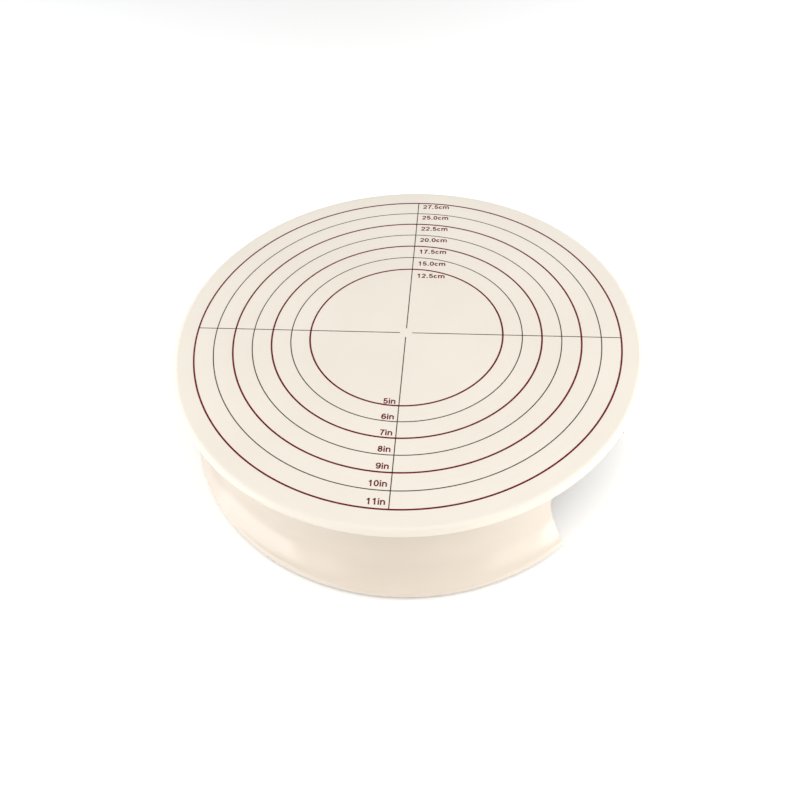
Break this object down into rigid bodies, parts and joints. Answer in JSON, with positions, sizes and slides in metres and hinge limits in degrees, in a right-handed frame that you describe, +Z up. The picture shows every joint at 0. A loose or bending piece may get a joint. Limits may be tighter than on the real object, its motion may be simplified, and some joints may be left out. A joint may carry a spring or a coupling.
{
  "type": "cake decorating turntable",
  "caption": "Round cake-decorating turntable: a flat plate printed with size rings turns on a ball race over a bell-shaped base with a hand grip on each side.",
  "frame": {"origin": "middle of the feet, on the table", "axes": "+Z up along the spindle; +X through the middle of one hand grip; -X through the other"},
  "size_m": [0.304, 0.304, 0.08],
  "materials": {
    "plate_plastic": "smooth glossy cream moulding",
    "base_plastic": "smooth glossy cream moulding",
    "print_dark_red": "screen-printed ink, dark red",
    "print_grey": "screen-printed ink, dark grey",
    "race_steel": "pressed and polished steel",
    "ball_steel": "polished ball steel",
    "spindle_steel": "turned steel",
    "spring_steel": "blackened spring steel",
    "screw_steel": "zinc-plated steel",
    "cage_acetal": "natural acetal",
    "foot_rubber": "soft black rubber"
  },
  "bodies": {
    "base": {"base_shell": "base_plastic", "lower_race": "race_steel", "lower_race_screws": "screw_steel", "spindle_bush": "cage_acetal", "hub_cover": "base_plastic", "hub_cover_screws": "screw_steel", "foot_screws": "screw_steel", "rubber_foot_1": "foot_rubber", "rubber_foot_2": "foot_rubber", "rubber_foot_3": "foot_rubber", "rubber_foot_4": "foot_rubber", "rubber_foot_5": "foot_rubber", "rubber_foot_6": "foot_rubber"},
    "plate": {"turntable_plate": "plate_plastic", "upper_race": "race_steel", "upper_race_screws": "screw_steel", "spindle": "spindle_steel", "spindle_screws": "screw_steel", "retaining_washer": "race_steel", "circlip": "spring_steel"},
    "ball_cage": {"ball_cage": "cage_acetal", "bearing_balls": "ball_steel"}
  },
  "joints": [
    {"name": "plate_spin", "type": "hinge", "parent": "base", "child": "plate", "pos_m": [0, 0, 0.07], "axis": [0, 0, 1], "continuous": true},
    {"name": "cage_spin", "type": "hinge", "parent": "base", "child": "ball_cage", "pos_m": [0, 0, 0.0697], "axis": [0, 0, 1], "continuous": true}
  ],
  "couplings": [
    {"joint": "cage_spin", "follows": "plate_spin", "ratio": 0.5}
  ]
}
